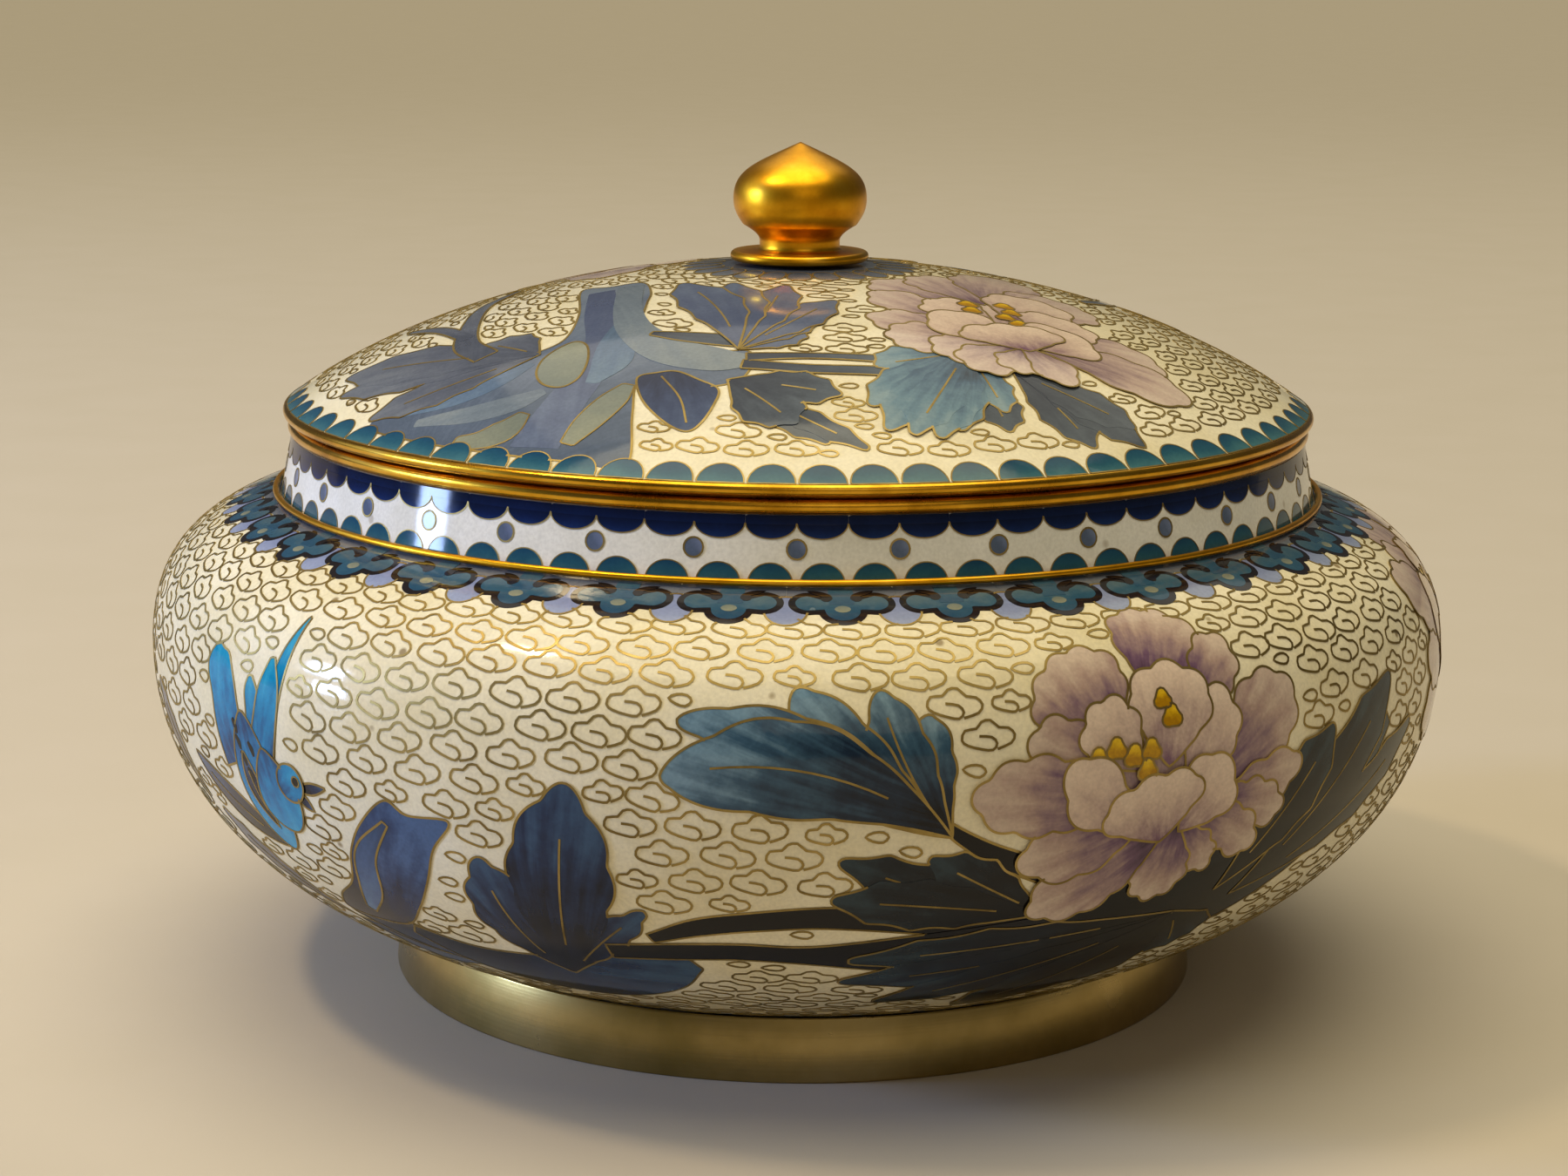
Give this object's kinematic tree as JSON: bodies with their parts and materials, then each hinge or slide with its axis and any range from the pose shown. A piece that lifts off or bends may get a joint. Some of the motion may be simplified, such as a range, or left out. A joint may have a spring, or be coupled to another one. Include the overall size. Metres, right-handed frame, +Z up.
{
  "type": "covered cloisonne bowl",
  "caption": "Round covered bowl of enamelled copper: wide belly on a low brass foot ring, upright neck, and a domed lift-off lid with an onion-shaped finial.",
  "frame": {"origin": "centre of the foot ring's underside, on the surface that the bowl stands on", "axes": "+Z up along the bowl's axis of turning; -Y is the side that faces the viewer, with the large flower"},
  "size_m": [0.2, 0.2, 0.1291],
  "materials": {
    "ivory_enamel": "glossy fired enamel on copper, with wire cells and coloured motifs outside",
    "brushed_brass": "satin, brushed round",
    "gilt_brass": "polished and gilded"
  },
  "bodies": {
    "root": {"bowl": "ivory_enamel", "foot_ring": "brushed_brass", "neck_ring": "gilt_brass", "bowl_rim": "gilt_brass", "lid": "ivory_enamel", "lid_rim": "gilt_brass", "finial": "gilt_brass"}
  },
  "joints": []
}
